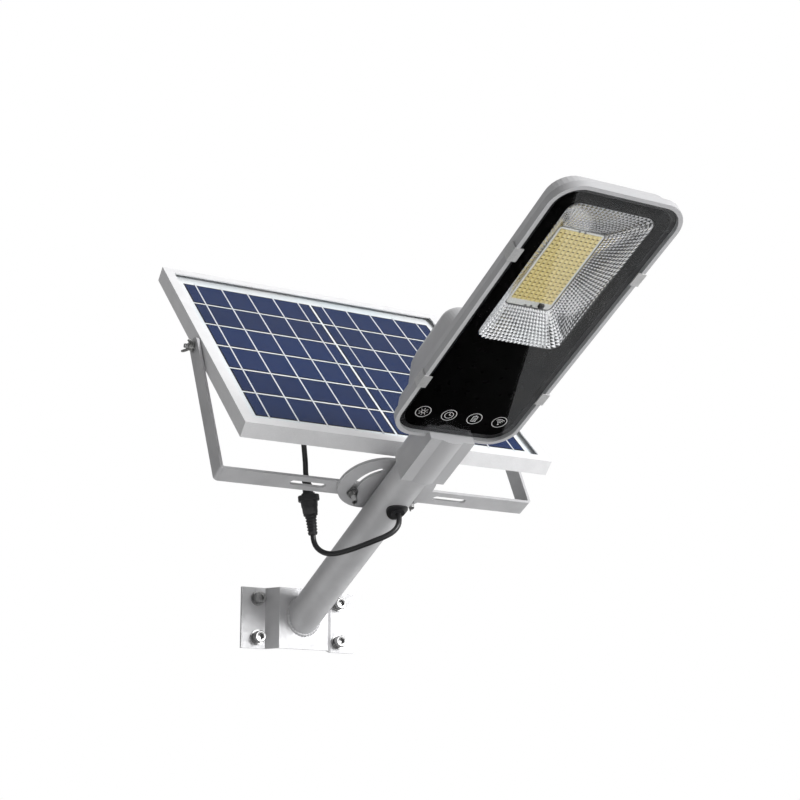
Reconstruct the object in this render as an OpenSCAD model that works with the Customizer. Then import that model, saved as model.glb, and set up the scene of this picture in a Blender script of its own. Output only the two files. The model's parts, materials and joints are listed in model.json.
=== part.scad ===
// Solar street lamp: a wall bracket carries a slanted arm tube, a lamp head slipped over the
// arm's end and a solar panel in a U-bracket that tilts and swivels on the arm.
// Millimetres. X runs along the wall, the wall plane is Y = 0 with the lamp on its -Y side,
// Z is up, and the origin is the middle of the wall bracket's back plane.

/* [Wall bracket] */
// Width over both flanges
bracket_w = 136; // [126:1:180]
// Height of the bent plate
bracket_h = 66; // [60:1:120]
// Thickness of the bent plate
bracket_t = 3; // [2:0.5:5]
// Depth of the hat from the wall to its front face
bracket_d = 17; // [12:1:30]
// Width of the hat's front face
crown_w = 59; // [48:1:70]
// Width of the hat where it leaves the flanges
hat_w = 80; // [74:1:84]
// Distance between the wall bolts along the wall
bolt_dx = 98; // [96:1:110]
// Distance between the wall bolts up the wall
bolt_dz = 42; // [30:1:50]
// Diameter of the wall bolts
wall_bolt_d = 8; // [6:1:10]
// Length of the wall bolts' shanks behind the wall plane
wall_bolt_l = 30; // [20:1:80]

/* [Arm] */
// Angle of the arm above the horizontal
arm_angle = 25; // [15:1:35]
// Outside diameter of the arm tube
arm_d = 37; // [30:1:45]
// Wall of the arm tube
arm_wall = 2; // [1.5:0.5:3]
// Height of the arm's axis where it meets the hat's front face
arm_foot_z = 3; // [0:0.5:6]
// Distance from the wall plane to the lamp end of the tube, along the arm
arm_l = 350; // [345:1:420]
// Distance along the arm to the cable hole
cable_hole_s = 241; // [236:1:246]
// Diameter of the cable hole
cable_hole_d = 14; // [10:0.5:16]

/* [Swivel plate and U-bracket] */
// Thickness of the half-moon plate
moon_t = 3; // [2:0.5:4]
// Radius of the two round ends of the half-moon plate
moon_r = 40; // [38:1:46]
// Distance of the round ends' centres from the arm's middle plane
moon_dx = 13; // [10:1:20]
// Distance along the arm to the middle of the U-bracket's bar
bar_s = 220.5; // [215:0.5:224]
// Distance from the bar's middle to the swivel axis, away from the wall
swivel_ds = 9; // [6:1:12]
// Radius of the arc slots about the swivel axis
swivel_r = 34; // [32:1:36]
// Swivel travel to each side, in degrees
swivel_travel = 12; // [5:1:14]
// Width of the U-bracket's flat bar
bar_w = 20; // [16:1:26]
// Thickness of the flat bar
bar_t = 3; // [2:0.5:4]
// Clear height between the arm's upper side and the panel's lower edge
edge_clear = 10.5; // [10:0.5:40]
// Length of the two straight slots in the bar
bar_slot_l = 39; // [20:1:50]
// Distance of the straight slots' middles from the arm
bar_slot_x = 82; // [76:1:100]
// Diameter of the swivel bolts
bolt_d = 6; // [5:0.5:6]
// Diameter of the tilt bolts
tilt_bolt_d = 5; // [4:0.5:5]

/* [Solar panel] */
// Width of the panel frame
panel_w = 350; // [280:1:450]
// Height of the panel frame, up its slope
panel_h = 330; // [270:1:336]
// Thickness of the panel frame
panel_t = 17; // [17:1:25]
// Slope of the panel from the horizontal
panel_tilt = 45; // [44:0.5:46]
// Width of the frame's front lip
lip_w = 11; // [8:0.5:14]
// Thickness of the panel glass
panel_glass_t = 3.2; // [3:0.1:4]
// White margin beside the solar cells, with the lip
cell_margin_x = 18.25; // [14:0.25:60]
// White margin over and under the solar cells, with the lip
cell_margin_y = 22.8; // [14:0.1:60]
// White gap between the cells
cell_gap = 3; // [1:0.5:4]

/* [Lamp head] */
// Distance from the arm's end to the lower edge of the front glass
glass_ds = 5.5; // [5:0.5:12]
// Length of the neck that sits over the arm's end
neck_l = 56; // [50:1:60]
// Width of the front glass
glass_w = 126; // [120:1:152]
// Length of the front glass
glass_l = 317; // [260:1:400]
// Thickness of the front glass
glass_t = 4; // [3:0.5:4]
// Distance of the glass's front face below the arm's axis
glass_n = 12.5; // [12:0.5:14]
// Corner radius of the front glass
glass_r = 24; // [15:1:30]
// Width of the rim round the glass
rim_w = 4; // [3:0.5:6]
// Height of the lamp head's back over the arm's axis
back_n = 15; // [15:0.5:20]
// Wall of the housing
shell_t = 2.5; // [2:0.5:3]
// Width of the light window
window_w = 89; // [80:1:100]
// Distance from the lower edge of the glass to the light window
window_ds = 131; // [128:1:134]
// Distance from the light window to the upper edge of the glass
window_margin = 17; // [12:1:24]
// Width of the LED board
board_w = 47; // [40:1:56]
// Length of the LED board
board_l = 96; // [80:1:110]
// Diameter of a battery cell
battery_d = 32; // [26:1:39]
// Length of a battery cell
battery_l = 65; // [60:1:68]

/* [Cables] */
// Diameter of both leads
lead_d = 5.5; // [4:0.5:6]

/* [Hidden] */

$fn = 48;
fit = 0.05;      // radial running clearance of a tube or shaft in its hole
slide = 0.1;     // air between flat faces that turn on each other
gap = 0.3;       // air between pieces that only lie next to each other
eps = 0.5;       // extra depth of a cut past a face

// Arm: s runs along it from the wall plane, n stands square on it, away from the ground
arm_r = arm_d / 2;
arm_z = arm_foot_z - bracket_d * tan(arm_angle);
function arm_point(x, s, n) = [x,
    n * sin(arm_angle) - s * cos(arm_angle),
    arm_z + s * sin(arm_angle) + n * cos(arm_angle)];

// Swivel plate, bar and bolts, stacked on the tube's upper side
moon_sink = 1;
moon_n = arm_r - moon_sink;
bar_n = moon_n + moon_t + slide;
swivel_s = bar_s + swivel_ds;
swivel_x = sqrt(swivel_r * swivel_r - swivel_ds * swivel_ds);
swivel_rest = asin(swivel_ds / swivel_r);
arc_slot_w = bolt_d + 1;
bar_slot_w = bolt_d + 1;
arc_out = 57;                                   // upper end of the arc slots, degrees from the bar
arc_in = -(swivel_rest + swivel_travel);        // lower end, which stops the swivel
moon_s = swivel_s + 7;
washer_t = 1.2;
washer_r = bolt_d;
head_r = 5;
head_h = 4;

// U-bracket: legs outside the panel frame
hinge_n = arm_r + edge_clear + panel_h / 2 * sin(panel_tilt + arm_angle);
leg_gap = 1.2;
leg_x = panel_w / 2 + leg_gap;
bend_r = bar_t + 1.5;
hinge = arm_point(0, bar_s, hinge_n);

// Wing nuts
nut_r = 5;
nut_h = 5;
wing_reach = 11;
wing_h = 9;
wing_t = 2.2;
tilt_nut_x = leg_x + bar_t + washer_t;
swivel_nut_n = moon_n - washer_t;
tilt_bolt_l = nut_h + 4;
swivel_bolt_l = nut_h + 7;

// Panel stack, measured from the middle of the frame's thickness towards the front
front_z = panel_t / 2;
lip_t = 1.4;
rail_wall = 1.4;
rail_w = lip_w + 3;
glass_z = front_z - lip_t - panel_glass_t;
cell_t = 0.35;
ribbon_t = 0.15;
ribbon_w = 1.6;
sheet_t = 0.5;
sheet_z = glass_z - ribbon_t - cell_t - sheet_t;
shelf_z = sheet_z - lip_t;                       // back of the shelf that carries the laminate
tilt_z = (shelf_z - panel_t / 2 + rail_wall) / 2; // tilt axis, in the middle of the rail's channel
tilt_head_d = shelf_z + panel_t / 2 - rail_wall - gap;
slot_depth = lip_w - 3;                          // how far the laminate reaches under the lip
laminate_w = panel_w - 2 * (lip_w - slot_depth);
laminate_h = panel_h - 2 * (lip_w - slot_depth);
cell_cols = 2;
cell_rows = 6;
cell_pitch_x = (panel_w - 2 * cell_margin_x) / cell_cols;
cell_pitch_y = (panel_h - 2 * cell_margin_y) / cell_rows;
ribbons_per_cell = 5;

// Junction box on the back of the panel
jbox = [62, 50, 15];
jbox_at = [-72, 46];
jbox_wall = 2;
jbox_lid_t = 3;
gland_z = sheet_z - 7.5;
gland_l = 12;

// Lamp head
glass_s = arm_l + glass_ds;
window_l = glass_l - window_ds - window_margin;
pocket_gap = 0.3;
pocket_n = -glass_n + glass_t;                   // back face of the front glass
gasket_t = 1;
gasket_w = 5;
ledge_n = pocket_n + gasket_t;
rim_x = glass_w / 2 + pocket_gap + rim_w;
rim_l = glass_l + 2 * (pocket_gap + rim_w);
rim_back_n = ledge_n + 2;
step = 3;                                        // ledge behind the rim that the clips hook on
board_t = 1.6;
floor_n = back_n - shell_t;
pad_t = 0.9;
board_n = floor_n - pad_t - board_t;             // light side of the LED board
window_s = glass_s + window_ds;
board_s = window_s + window_l / 2 - board_l / 2 - 6;
mask_t = 0.3;
led_cols = 9;
led_rows = 19;
led_size = 3.2;
led_t = 0.7;
led_margin = 4;

// Battery hump, from the lower end of the head
hump_n = back_n + battery_d + 6;
hump_base_s = glass_s + 2;
hump_top_s = glass_s + 30;
hump_top_l = battery_l + 9;
hump_base_l = battery_l + 73;
hump_top_x = battery_d + 12;
hump_base_x = hump_top_x + 12;
hump_round = 14;
battery_s = hump_top_s + 5;
battery_n = hump_n - shell_t - 3 - battery_d / 2;
battery_x = battery_d / 2 + 0.5;
tray_t = 3;
tray_n = battery_n - battery_d / 2 - tray_t;
boss_x = battery_d + 7.5;
boss_r = 3.5;
boss_s = [battery_s + 14, battery_s + battery_l - 14];
control_n = rim_back_n + 2;
control_t = 1.6;
control_w = 72;
control_l = 56;
control_s = glass_s + 36;

// Neck of the lamp head over the arm's end
neck_s = arm_l - neck_l;
neck_r = arm_r + 4;
neck_flat = arm_r + 2.5;
neck_x = arm_r + 5.5;
neck_bore_r = arm_r + fit;
neck_screw_s = [neck_s + 12, neck_s + 32];
neck_screw_d = 6;

// Clips over the rim
clip_t = 1;
clip_w = 15;
clip_reach = 9;
clip_s = [glass_s + 0.22 * glass_l, glass_s + 0.745 * glass_l];

// Connector: axis from the panel lead down to the lamp lead
connector_top = [-71, -165, 121];
connector_bottom = [-63, -165, 62];
connector_v = connector_bottom - connector_top;
connector_l = norm(connector_v);
lead_air = 0.1;          // air between a lead's end and the piece it enters
lead_run = 5;            // straight stretch of a lead at each end
function along_connector(d) = d * connector_v / connector_l;
boot_l = 17;
collar_l = 8;
socket_l = 15;
plug_l = connector_l - boot_l - collar_l - socket_l;

// Leads: the way each cable takes, from the piece it leaves to the piece it enters
function gland_point(d) = panel_point(jbox_at[0], jbox_at[1] - jbox[1] / 2 - gland_l - d, gland_z);
panel_lead_path = [gland_point(lead_air), gland_point(lead_run), [-72, -129, 242], [-72, -139, 230],
    [-73, -149, 217], [-74, -158, 200], [-75, -164, 183], [-76, -167, 165], [-75, -168, 150],
    [-73, -167, 135], connector_top - along_connector(lead_run), connector_top - along_connector(lead_air)];
function grommet_point(d) = arm_point(0, cable_hole_s, -arm_r - 3 - d);
lamp_lead_path = [connector_bottom + along_connector(lead_air), connector_bottom + along_connector(lead_run),
    [-61, -166.5, 51.5], [-58.5, -170, 46.5], [-54.5, -176, 42.5], [-49, -184, 41], [-43, -193.5, 42],
    [-37, -203.5, 44], [-31, -213.5, 46.5], [-24.5, -223, 49.5], [-17, -229.5, 53], [-9, -232.5, 58],
    [-3, -232.5, 65], grommet_point(lead_run), grommet_point(lead_air)];
inner_lead_path = [arm_point(0, cable_hole_s, -arm_r + arm_wall + 1), arm_point(0, cable_hole_s + 3, -8),
    arm_point(0, cable_hole_s + 16, 0), arm_point(0, 300, 2), arm_point(0, 350, 2), arm_point(0, 388, 0)];

function panel_point(x, v, z) = [hinge[0] + x,
    hinge[1] + v * cos(panel_tilt) - (z - tilt_z) * sin(panel_tilt),
    hinge[2] + v * sin(panel_tilt) + (z - tilt_z) * cos(panel_tilt)];

// Local frame on the arm: x = -X, y along the arm, z square on the arm
module on_arm(s = 0, n = 0) {
    translate([0, 0, arm_z]) rotate([arm_angle, 0, 180]) translate([0, s, n]) children();
}

// Local frame on the panel: x = X, y up the slope, z out of the front, origin in its middle
module on_panel() {
    translate(hinge) rotate([panel_tilt, 0, 0]) translate([0, 0, -tilt_z]) children();
}

// Flat plate with rounded corners, centred in x, from y = 0
module rounded_rect(w, l, r) {
    translate([-w / 2 + r, 0]) square([w - 2 * r, l]);
    translate([-w / 2, r]) square([w, l - 2 * r]);
    for (sx = [-1, 1], y = [r, l - r]) translate([sx * (w / 2 - r), y]) circle(r);
}

module rounded_box(w, l, h, r) {
    linear_extrude(h) rounded_rect(w, l, r);
}

module ring(r_out, r_in, h) {
    difference() {
        cylinder(h = h, r = r_out);
        translate([0, 0, -eps]) cylinder(h = h + 2 * eps, r = r_in);
    }
}

// Straight stretch of round cable or a tube swept along points
function unit(v) = v / norm(v);
function tangent(p, i) = unit(p[min(i + 1, len(p) - 1)] - p[max(i - 1, 0)]);
function side_of(t, n) = unit(n - (n * t) * t);
function normals(p, i = 0, last = [1, 0, 0.01]) =
    i == len(p) ? [] : let (n = side_of(tangent(p, i), last)) concat([n], normals(p, i + 1, n));
module swept_tube(p, d, sides = 10) {
    n = normals(p);
    rings = [for (i = [0:len(p) - 1], k = [0:sides - 1])
        let (a = 360 * k / sides, b = cross(tangent(p, i), n[i]))
        p[i] + d / 2 * (cos(a) * n[i] + sin(a) * b)];
    quads = [for (i = [0:len(p) - 2], k = [0:sides - 1])
        [i * sides + k, i * sides + (k + 1) % sides,
         (i + 1) * sides + (k + 1) % sides, (i + 1) * sides + k]];
    start = [for (k = [sides - 1:-1:0]) k];
    end = [for (k = [0:sides - 1]) (len(p) - 1) * sides + k];
    polyhedron(points = rings, faces = concat([start], quads, [end]), convexity = 4);
}

// Wall bracket ---------------------------------------------------------------------------

module wall_plate() {
    rise = bracket_d - bracket_t;
    run = (hat_w - crown_w) / 2;
    shift = bracket_t * tan(atan2(rise, run) / 2);
    half = [[bracket_w / 2, 0], [bracket_w / 2, -bracket_t], [hat_w / 2, -bracket_t],
        [crown_w / 2, -bracket_d]];
    back = [[-crown_w / 2 + shift, -bracket_d + bracket_t], [-hat_w / 2 + shift, 0]];
    outline = concat(half, [for (i = [3:-1:0]) [-half[i][0], half[i][1]]],
        [for (p = [back[1], back[0]]) p], [for (p = [back[0], back[1]]) [-p[0], p[1]]]);
    color([0.80, 0.80, 0.81]) difference() {
        translate([0, 0, -bracket_h / 2]) linear_extrude(bracket_h) polygon(outline);
        at_wall_bolts() translate([0, 0, -eps]) cylinder(h = bracket_t + 2 * eps, d = wall_bolt_d + 1);
    }
}

// Places children at the four wall bolts, with z pointing away from the wall
module at_wall_bolts() {
    for (sx = [-1, 1], sz = [-1, 1])
        translate([sx * bolt_dx / 2, 0, sz * bolt_dz / 2]) rotate([90, 0, 0]) children();
}

module wall_bolts() {
    seat = bracket_t + washer_t + 0.4;
    cap_h = wall_bolt_d;
    color([0.72, 0.72, 0.73]) at_wall_bolts() difference() {
        union() {
            translate([0, 0, -wall_bolt_l]) cylinder(h = wall_bolt_l, d = wall_bolt_d);
            translate([0, 0, -eps]) cylinder(h = seat + eps, d = wall_bolt_d - 0.5);
            translate([0, 0, seat]) cylinder(h = cap_h, d = wall_bolt_d * 1.6);
        }
        translate([0, 0, seat + cap_h / 2])
            cylinder(h = cap_h / 2 + eps, d = wall_bolt_d * 0.87, $fn = 6);
    }
}

module wall_washers() {
    color([0.66, 0.66, 0.67]) at_wall_bolts() translate([0, 0, bracket_t])
        ring(wall_bolt_d, wall_bolt_d / 2 + 0.2, washer_t + 0.4);
}

// Arm ------------------------------------------------------------------------------------

// Everything on the lamp's side of the hat's front face
module beyond_face(size = 900) {
    translate([-size / 2, -bracket_d - size, -size / 2]) cube(size);
}

module arm_bar(r, s0, s1) {
    on_arm(s0) rotate([-90, 0, 0]) cylinder(h = s1 - s0, r = r);
}

module arm_tube() {
    color([0.74, 0.74, 0.75]) intersection() {
        difference() {
            arm_bar(arm_r, -20, arm_l);
            arm_bar(arm_r - arm_wall, -30, arm_l + eps);
            on_arm(cable_hole_s, -arm_r - eps) cylinder(h = arm_r, d = cable_hole_d);
        }
        beyond_face();
    }
}

module arm_weld() {
    bead = 2.5;
    color([0.70, 0.70, 0.71]) intersection() {
        difference() {
            arm_bar(arm_r + bead, -20, 60);
            arm_bar(arm_r, -30, 70);
        }
        translate([-arm_d, -bracket_d - bead, -arm_d]) cube([2 * arm_d, bead, 2 * arm_d]);
    }
}

module cable_grommet() {
    flange_r = cable_hole_d / 2 + 4;
    color([0.05, 0.05, 0.06]) difference() {
        union() {
            on_arm(cable_hole_s, -arm_r - 3) cylinder(h = 4 + arm_wall, d = cable_hole_d);
            intersection() {
                on_arm(cable_hole_s, -arm_r - 3) cylinder(h = arm_r, r = flange_r);
                arm_bar(arm_r + 2, cable_hole_s - 20, cable_hole_s + 20);
            }
        }
        on_arm(cable_hole_s, -arm_r - 3 - eps) cylinder(h = 10 + arm_wall, d = lead_d);
        difference() {
            arm_bar(arm_r, cable_hole_s - 20, cable_hole_s + 20);
            on_arm(cable_hole_s, -arm_r - eps) cylinder(h = arm_wall + 2, d = cable_hole_d);
        }
    }
}

// Swivel plate and its bolts -------------------------------------------------------------

// One arc slot as an outline: x away from the arm, y along it
module arc_slot() {
    difference() {
        circle(swivel_r + arc_slot_w / 2, $fn = 96);
        circle(swivel_r - arc_slot_w / 2, $fn = 96);
        rotate(arc_out) translate([-2 * swivel_r, 0]) square([4 * swivel_r, 2 * swivel_r]);
        rotate(arc_in) translate([-2 * swivel_r, -2 * swivel_r]) square([4 * swivel_r, 2 * swivel_r]);
        translate([-2 * swivel_r, -2 * swivel_r]) square([2 * swivel_r, 4 * swivel_r]);
    }
    for (a = [arc_in, arc_out]) rotate(a) translate([swivel_r, 0]) circle(d = arc_slot_w - 0.2);
}

module moon_plate() {
    color([0.72, 0.72, 0.73]) difference() {
        on_arm(0, moon_n) linear_extrude(moon_t) difference() {
            union() {
                for (sx = [-1, 1]) translate([sx * moon_dx, moon_s]) circle(moon_r, $fn = 96);
                translate([-moon_dx, moon_s - moon_r]) square([2 * moon_dx, 2 * moon_r]);
            }
            for (sx = [0, 1]) translate([0, swivel_s]) mirror([sx, 0]) arc_slot();
        }
        arm_bar(arm_r, bar_s - 60, bar_s + 90);
    }
}

// Places children on the swivel bolts, z = 0 on the half-moon plate's underside
module at_swivel_bolt(side) {
    on_arm(bar_s, moon_n) translate([-side * swivel_x, 0, 0]) children();
}

module swivel_bolts() {
    top = bar_n + bar_t - moon_n;
    color([0.62, 0.62, 0.62]) for (side = [-1, 1]) at_swivel_bolt(side) {
        translate([0, 0, -washer_t - swivel_bolt_l])
            cylinder(h = top + washer_t + swivel_bolt_l, d = bolt_d);
        translate([0, 0, top]) cylinder(h = head_h, r = head_r, $fn = 6);
    }
}

module swivel_washers() {
    color([0.66, 0.66, 0.67]) for (side = [-1, 1]) at_swivel_bolt(side)
        translate([0, 0, -washer_t]) ring(washer_r, bolt_d / 2 + 0.2, washer_t - gap);
}

// Wing nut with its seat at z = 0 and its wings towards +z
module wing_nut(d) {
    difference() {
        union() {
            cylinder(h = nut_h, r1 = nut_r, r2 = nut_r - 1);
            for (side = [-1, 1]) intersection() {
                rotate([90, 0, 0]) translate([0, 0, -wing_t / 2]) linear_extrude(wing_t)
                    polygon([[side * 2.5, 0.8], [side * 5, 0.8], [side * (wing_reach - 1.5), wing_h - 3.5],
                        [side * wing_reach, wing_h - 1.5], [side * (wing_reach - 1), wing_h],
                        [side * (wing_reach - 3.5), wing_h - 0.5], [side * 3.2, nut_h - 0.5],
                        [side * 2.5, nut_h - 1.5]]);
                cylinder(h = wing_h, r = wing_reach);
            }
        }
        translate([0, 0, -eps]) cylinder(h = wing_h + 2 * eps, r = d / 2 + fit);
    }
}

module swivel_wing_nut(side) {
    color([0.55, 0.55, 0.54]) at_swivel_bolt(side) translate([0, 0, -washer_t - slide])
        mirror([0, 0, 1]) rotate(25) wing_nut(bolt_d);
}

// U-bracket ------------------------------------------------------------------------------

module u_bracket() {
    color([0.74, 0.74, 0.75]) difference() {
        union() {
            on_arm(bar_s - bar_w / 2) rotate([90, 0, 0]) mirror([0, 0, 1]) linear_extrude(bar_w) {
                out_x = leg_x + bar_t;
                translate([-out_x + bend_r, bar_n]) square([2 * (out_x - bend_r), bar_t]);
                for (sx = [-1, 1]) translate([sx * (out_x - bend_r), bar_n + bend_r]) bend(sx);
            }
            for (side = [-1, 1]) on_leg(side) linear_extrude(bar_t) {
                translate([bar_n + bend_r, -bar_w / 2]) square([hinge_n - bar_n - bend_r, bar_w]);
                translate([hinge_n, 0]) circle(d = bar_w);
            }
        }
        for (side = [-1, 1]) {
            on_leg(side) translate([hinge_n, 0, -eps])
                cylinder(h = bar_t + 2 * eps, r = tilt_bolt_d / 2 + fit);
            at_swivel_bolt(side) translate([0, 0, moon_t - eps])
                cylinder(h = bar_t + 3 * eps, r = bolt_d / 2 + fit);
            on_arm(bar_s, bar_n - eps) translate([side * bar_slot_x, 0, 0]) linear_extrude(bar_t + 2 * eps) {
                for (end = [-1, 1]) translate([end * (bar_slot_l - bar_slot_w) / 2, 0])
                    circle(d = bar_slot_w);
                square([bar_slot_l - bar_slot_w, bar_slot_w], center = true);
            }
        }
    }
}

// Quarter ring between the bar and a leg
module bend(sx) {
    intersection() {
        difference() {
            circle(bend_r);
            circle(bend_r - bar_t);
        }
        translate([sx > 0 ? 0 : -bend_r, -bend_r]) square(bend_r);
    }
}

// A leg's inner face: x up the leg from the arm's axis, y along the arm, z outwards
module on_leg(side) {
    on_arm(bar_s) mirror([side > 0 ? 0 : 1, 0, 0]) translate([-leg_x, 0, 0]) rotate([0, -90, 0])
        children();
}

// Tilt axis at a leg's inner face, z pointing outwards along it
module at_hinge(side) {
    translate([side * leg_x, hinge[1], hinge[2]]) rotate([0, side * 90, 0]) children();
}

module tilt_bolts() {
    inside = leg_gap + rail_wall;
    color([0.62, 0.62, 0.62]) for (side = [-1, 1]) at_hinge(side) {
        translate([0, 0, -inside]) cylinder(h = inside + bar_t + washer_t + tilt_bolt_l, d = tilt_bolt_d);
        translate([0, 0, -inside - head_h]) cylinder(h = head_h, d = tilt_head_d);
    }
}

module tilt_washers() {
    color([0.66, 0.66, 0.67]) for (side = [-1, 1]) at_hinge(side) {
        translate([0, 0, -leg_gap]) ring(washer_r + 1, tilt_bolt_d / 2 + 0.2, leg_gap - gap);
        translate([0, 0, bar_t + gap]) ring(washer_r, tilt_bolt_d / 2 + 0.2, washer_t - gap);
    }
}

module tilt_wing_nut(side) {
    color([0.55, 0.55, 0.54]) at_hinge(side) translate([0, 0, bar_t + washer_t + slide])
        rotate(20) wing_nut(tilt_bolt_d);
}

// Solar panel ----------------------------------------------------------------------------

// Cross-section of the frame rail: x inwards from the outer face, y from the back to the front
module rail_profile() {
    back = -panel_t / 2;
    translate([0, back]) square([rail_wall, panel_t]);
    translate([0, front_z - lip_t]) square([lip_w, lip_t]);
    translate([0, shelf_z]) square([rail_w, lip_t]);
    translate([rail_w - rail_wall, back]) square([rail_wall, shelf_z - back + lip_t]);
    translate([0, back]) square([rail_w, rail_wall]);
    translate([0, shelf_z]) square([lip_w - slot_depth, front_z - shelf_z]);
}

// A rail of one length along x with its outer face at y = 0 and mitred ends
module rail(length) {
    intersection() {
        rotate([90, 0, 90]) translate([0, 0, -length / 2]) linear_extrude(length) rail_profile();
        translate([0, 0, -panel_t]) linear_extrude(2 * panel_t) polygon([[-length / 2, 0],
            [length / 2, 0], [length / 2 - 2 * rail_w, 2 * rail_w], [-length / 2 + 2 * rail_w, 2 * rail_w]]);
    }
}

module frame_rail(turn, length, offset) {
    color([0.90, 0.90, 0.91]) on_panel() rotate(turn) translate([0, -offset, 0]) rail(length);
}

module side_rail(side) {
    difference() {
        frame_rail(side * 90, panel_h, panel_w / 2);
        at_hinge(side) translate([0, 0, -leg_gap - rail_wall - eps])
            cylinder(h = rail_wall + 2 * eps, r = tilt_bolt_d / 2 + fit);
    }
}

module corner_keys() {
    key_l = 28;
    key_w = rail_w - 2 * rail_wall - 2 * gap;
    key_h = shelf_z + panel_t / 2 - rail_wall - 2 * gap;
    inset = rail_wall + gap;
    color([0.55, 0.55, 0.57]) on_panel() for (sx = [-1, 1], sy = [-1, 1])
        mirror([sx < 0 ? 1 : 0, 0, 0]) mirror([0, sy < 0 ? 1 : 0, 0])
            translate([panel_w / 2 - inset, panel_h / 2 - inset, -panel_t / 2 + inset]) {
                translate([-key_l, -key_w, 0]) cube([key_l, key_w, key_h]);
                translate([-key_w, -key_l, 0]) cube([key_w, key_l, key_h]);
            }
}

module sheet(w, h, z, t) {
    translate([-w / 2, -h / 2, z]) cube([w, h, t]);
}

module panel_glass() {
    color([0.55, 0.62, 0.80, 0.35]) on_panel()
        sheet(laminate_w - gap, laminate_h - gap, glass_z, panel_glass_t - 0.05);
}

module solar_cells() {
    color([0.08, 0.11, 0.30]) on_panel() for (i = [0:cell_cols - 1], j = [0:cell_rows - 1])
        translate([(i - (cell_cols - 1) / 2) * cell_pitch_x, (j - (cell_rows - 1) / 2) * cell_pitch_y, 0])
            sheet(cell_pitch_x - cell_gap, cell_pitch_y - cell_gap, sheet_z + sheet_t, cell_t);
}

module cell_ribbons() {
    pitch = cell_pitch_x / ribbons_per_cell;
    count = cell_cols * ribbons_per_cell;
    color([0.86, 0.88, 0.90]) on_panel() for (i = [0:count - 1])
        translate([(i - (count - 1) / 2) * pitch, 0, 0])
            sheet(ribbon_w, cell_rows * cell_pitch_y + 4, sheet_z + sheet_t + cell_t, ribbon_t);
}

module backsheet() {
    color([0.95, 0.95, 0.95]) on_panel() sheet(laminate_w - gap, laminate_h - gap, sheet_z, sheet_t);
}

// Local frame of the junction box: x = X, y up the slope, z = 0 on the backsheet, pointing back
module at_junction() {
    on_panel() translate([jbox_at[0], jbox_at[1], sheet_z]) mirror([0, 0, 1]) children();
}

module junction_box() {
    color([0.07, 0.07, 0.08]) at_junction() difference() {
        translate([0, -jbox[1] / 2, 0]) rounded_box(jbox[0], jbox[1], jbox[2], 4);
        translate([0, -jbox[1] / 2 + jbox_wall, jbox_wall])
            rounded_box(jbox[0] - 2 * jbox_wall, jbox[1] - 2 * jbox_wall, jbox[2], 2.5);
        translate([0, 0, sheet_z - gland_z]) rotate([90, 0, 0])
            cylinder(h = jbox[1], d = lead_d + 2.4);
    }
}

module junction_lid() {
    color([0.09, 0.09, 0.10]) at_junction() translate([0, 0, jbox[2]]) {
        translate([0, -jbox[1] / 2 - 1, 0]) rounded_box(jbox[0] + 2, jbox[1] + 2, jbox_lid_t, 5);
        translate([0, -jbox[1] / 2 + jbox_wall + gap, -2])
            rounded_box(jbox[0] - 2 * jbox_wall - 2 * gap, jbox[1] - 2 * jbox_wall - 2 * gap, 2, 2);
    }
}

module junction_gland() {
    color([0.05, 0.05, 0.06]) at_junction() translate([0, -jbox[1] / 2, sheet_z - gland_z])
        rotate([90, 0, 0]) difference() {
            union() {
                translate([0, 0, -jbox_wall]) cylinder(h = jbox_wall + 1, d = lead_d + 2.4);
                cylinder(h = gland_l / 2, d = 12.5, $fn = 6);
                cylinder(h = gland_l, d1 = 11.5, d2 = 8.5);
            }
            translate([0, 0, -jbox_wall - eps]) cylinder(h = jbox_wall + eps, d = lead_d - 1);
        }
}

// Leads and the connector between them ---------------------------------------------------

module panel_lead() {
    color([0.03, 0.03, 0.04]) swept_tube(panel_lead_path, lead_d);
}

module lamp_lead() {
    color([0.03, 0.03, 0.04]) swept_tube(lamp_lead_path, lead_d);
}

// Local frame on the connector: z runs from the panel lead down to the lamp lead
module on_connector(down = 0) {
    tilt = acos(connector_v[2] / connector_l);
    turn = atan2(connector_v[1], connector_v[0]);
    translate(connector_top) rotate([0, tilt, turn]) translate([0, 0, down]) children();
}

module socket_half() {
    color([0.04, 0.04, 0.05]) {
        on_connector() cylinder(h = boot_l, d1 = 8, d2 = 11);
        on_connector(boot_l) cylinder(h = 2, d = 14);
    }
}

module plug_ring() {
    color([0.05, 0.05, 0.06]) on_connector(boot_l + 2) difference() {
        union() {
            cylinder(h = collar_l - 2, d = 22);
            translate([0, 0, collar_l - 2]) cylinder(h = socket_l, d1 = 17, d2 = 14.5);
        }
        translate([0, 0, 1.5]) cylinder(h = collar_l + socket_l, d = 11);
    }
}

module plug_half() {
    body = collar_l + socket_l;
    color([0.04, 0.04, 0.05]) {
        on_connector(boot_l + 3.7) cylinder(h = body, d = 10.8);
        on_connector(boot_l + body) cylinder(h = plug_l, d1 = 11.6, d2 = 9.6);
    }
}

// Lamp head ------------------------------------------------------------------------------

// Round-cornered slab of the head: half-width x, from s, length l, at height n
module head_slab(x, s, l, r, n, h) {
    on_arm(s, n) rounded_box(2 * x, l, h, r);
}

// Shallow back of the head, drawn in by d all round
module head_back(d) {
    foot = rim_back_n - eps;
    hull() {
        head_slab(rim_x - step - d, glass_s - rim_w + step + d, rim_l - 2 * (step + d),
            glass_r - d, foot, 1, $fn = 32);
        head_slab(rim_x - 7 - d, glass_s + 4 + d, glass_l - 8 - 2 * d, glass_r - 2 - d,
            back_n - 6 - d, 0.1, $fn = 32);
        head_slab(rim_x - 13 - d, glass_s + 10 + d, glass_l - 20 - 2 * d, glass_r - 6 - d,
            back_n - d - 0.1, 0.1, $fn = 32);
    }
}

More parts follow.
